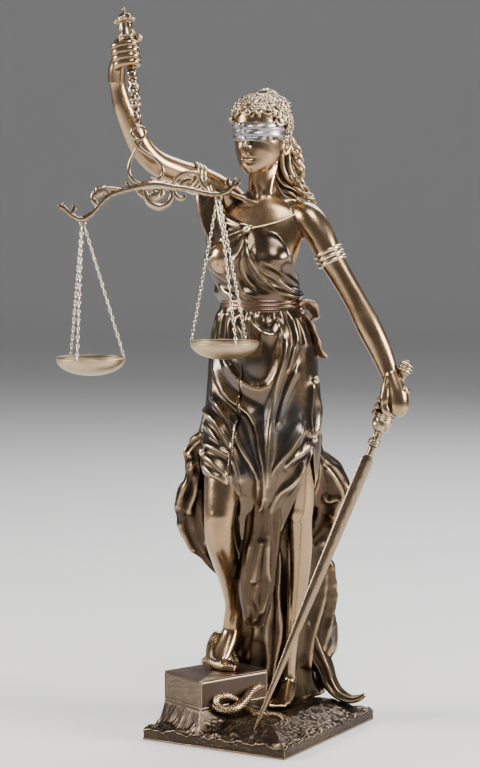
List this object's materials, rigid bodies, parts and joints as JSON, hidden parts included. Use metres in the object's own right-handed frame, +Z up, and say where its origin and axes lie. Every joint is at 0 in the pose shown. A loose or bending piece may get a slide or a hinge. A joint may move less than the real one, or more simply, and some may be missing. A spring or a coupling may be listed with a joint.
{
  "type": "lady justice statue",
  "caption": "Standing blindfolded figure of Justice, sword lowered at one side and a balance raised in the other hand, on a small rocky base with a book and serpent.",
  "frame": {"origin": "centre of the base's underside", "axes": "+Z up; the straight front face of the base looks along -Y, and the raised arm with the balance is on the -X side"},
  "size_m": [0.1871, 0.1738, 0.4549],
  "materials": {
    "bronze": "polished bronze patina, dark in the folds",
    "ground_bronze": "dark speckled bronze patina",
    "bright_bronze": "satin bronze",
    "chain_metal": "aged bright metal"
  },
  "bodies": {
    "root": {"figure": "bronze", "base": "ground_bronze", "sword": "bright_bronze", "scale_handle": "bright_bronze", "balance_beam": "bright_bronze", "chain_left_1": "chain_metal", "chain_left_2": "chain_metal", "chain_left_3": "chain_metal", "chain_right_1": "chain_metal", "chain_right_2": "chain_metal", "chain_right_3": "chain_metal", "pan_left": "bright_bronze", "pan_right": "bright_bronze"}
  },
  "joints": []
}
